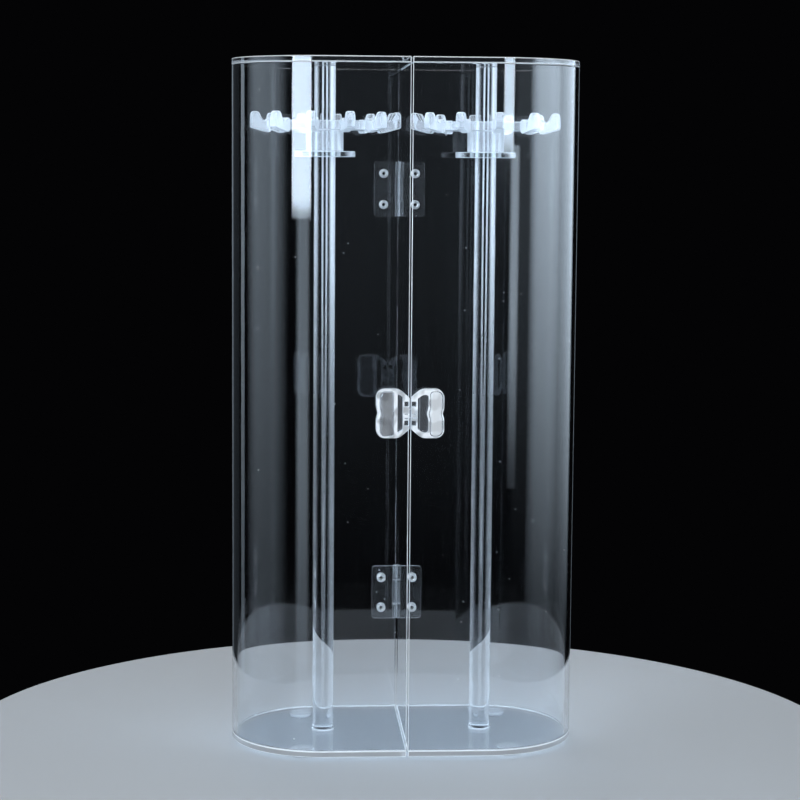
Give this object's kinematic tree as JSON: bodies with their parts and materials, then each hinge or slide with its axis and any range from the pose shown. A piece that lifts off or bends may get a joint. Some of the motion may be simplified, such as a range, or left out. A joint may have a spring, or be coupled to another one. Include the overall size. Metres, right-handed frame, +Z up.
{
  "type": "jewelry display cabinet",
  "caption": "Tall clear acrylic necklace case on a stadium plan, split upright into hinged halves with a bow-shaped clasp; each half has a post with a turning disc of hooks.",
  "frame": {"origin": "middle of the closed case's footprint, on the surface that its feet stand on", "axes": "+Z up, +X to the half that opens, +Y to the hinges at the back, so the clasp faces -Y"},
  "size_m": [0.172, 0.1022, 0.342],
  "materials": {
    "clear_sheet": "clear acrylic sheet and rod, polished, with bright cut edges",
    "clear_moulding": "clear injection moulding, glossy",
    "soft_clear_bumper": "clear soft bumper pad, slightly milky",
    "nickel_rivet": "nickel-plated hollow rivet, bright with fine wear",
    "steel_pin": "plain drawn steel wire"
  },
  "bodies": {
    "left_case": {"left_back_foot": "soft_clear_bumper", "left_bottom_plate": "clear_sheet", "left_clasp_wing": "clear_moulding", "left_front_foot": "soft_clear_bumper", "left_post": "clear_sheet", "left_stopper_disc": "clear_sheet", "left_top_plate": "clear_sheet", "left_wall": "clear_sheet", "lower_hinge_left_bottom_rivet": "nickel_rivet", "lower_hinge_left_leaf": "clear_moulding", "lower_hinge_left_top_rivet": "nickel_rivet", "lower_hinge_pin": "steel_pin", "upper_hinge_left_bottom_rivet": "nickel_rivet", "upper_hinge_left_leaf": "clear_moulding", "upper_hinge_left_top_rivet": "nickel_rivet", "upper_hinge_pin": "steel_pin"},
    "right_case": {"lower_hinge_right_bottom_rivet": "nickel_rivet", "lower_hinge_right_leaf": "clear_moulding", "lower_hinge_right_top_rivet": "nickel_rivet", "right_back_foot": "soft_clear_bumper", "right_bottom_plate": "clear_sheet", "right_clasp_wing": "clear_moulding", "right_front_foot": "soft_clear_bumper", "right_post": "clear_sheet", "right_stopper_disc": "clear_sheet", "right_top_plate": "clear_sheet", "right_wall": "clear_sheet", "upper_hinge_right_bottom_rivet": "nickel_rivet", "upper_hinge_right_leaf": "clear_moulding", "upper_hinge_right_top_rivet": "nickel_rivet"},
    "left_disc": {"left_hook_disc": "clear_moulding"},
    "right_disc": {"right_hook_disc": "clear_moulding"}
  },
  "joints": [
    {"name": "case_hinge", "type": "hinge", "parent": "left_case", "child": "right_case", "pos_m": [0, 0.0482, 0.172], "axis": [0, 0, 1], "range_deg": [0, 175]},
    {"name": "left_disc_spin", "type": "hinge", "parent": "left_case", "child": "left_disc", "pos_m": [-0.04, 0, 0.30975], "axis": [0, 0, 1], "continuous": true},
    {"name": "right_disc_spin", "type": "hinge", "parent": "right_case", "child": "right_disc", "pos_m": [0.04, 0, 0.30975], "axis": [0, 0, 1], "continuous": true}
  ]
}
